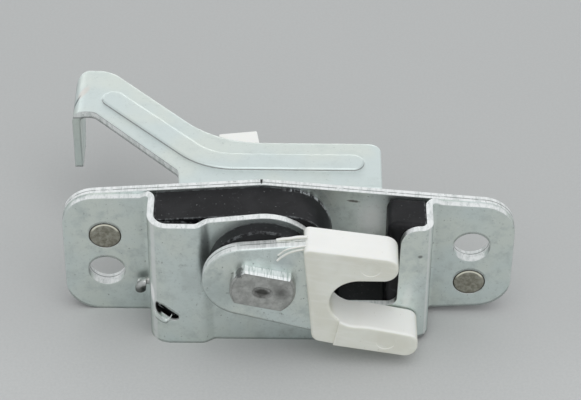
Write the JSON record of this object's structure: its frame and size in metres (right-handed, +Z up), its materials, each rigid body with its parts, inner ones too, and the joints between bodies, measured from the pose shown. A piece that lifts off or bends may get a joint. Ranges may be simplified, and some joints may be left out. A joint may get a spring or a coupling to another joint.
{
  "type": "van door latch",
  "caption": "Sliding door rear latch: pressed zinc housing riveted to a flat plate, nylon-jawed fork on a spindle, black moulded body, pawl and rearward release lever.",
  "frame": {"origin": "midway between the two mounting holes, on the front face of the flanges", "axes": "+X right along the plate seen from the front, +Y back through the plate, +Z up; the fork is on the -Y side"},
  "size_m": [0.109, 0.0702, 0.0395],
  "materials": {
    "zinc_sheet": "passivated zinc plate, satin",
    "bare_steel": "bare rivet steel, dull",
    "spindle_steel": "machined steel, dull zinc",
    "spring_steel": "hard drawn wire",
    "white_nylon": "natural nylon, satin",
    "black_plastic": "black acetal, satin"
  },
  "bodies": {
    "housing": {"back_plate": "zinc_sheet", "front_housing": "zinc_sheet", "rivet_left": "bare_steel", "rivet_right": "bare_steel", "front_bush": "black_plastic", "rear_bush": "black_plastic", "thrust_washer": "black_plastic", "fork_spring": "spring_steel", "mechanism_block": "black_plastic", "striker_buffer": "black_plastic", "pawl_spring": "spring_steel", "lever_washer": "spring_steel"},
    "fork": {"fork_plate": "zinc_sheet", "fork_jaws": "white_nylon", "spindle": "spindle_steel", "spindle_clip": "spring_steel", "ratchet": "spindle_steel"},
    "release": {"release_lever": "zinc_sheet", "rod_clip": "white_nylon", "pawl": "spindle_steel", "pawl_shaft": "spindle_steel", "lever_clip": "spring_steel"}
  },
  "joints": [
    {"name": "fork_turn", "type": "hinge", "parent": "housing", "child": "fork", "pos_m": [-0.006, 0, 0.008], "axis": [0, -1, 0], "range_deg": [0, 55], "deforming": ["fork_spring"]},
    {"name": "release_turn", "type": "hinge", "parent": "housing", "child": "release", "pos_m": [-0.0185, 0, -0.0075], "axis": [0, -1, 0], "range_deg": [-10.7, 0], "deforming": ["pawl_spring"]}
  ]
}
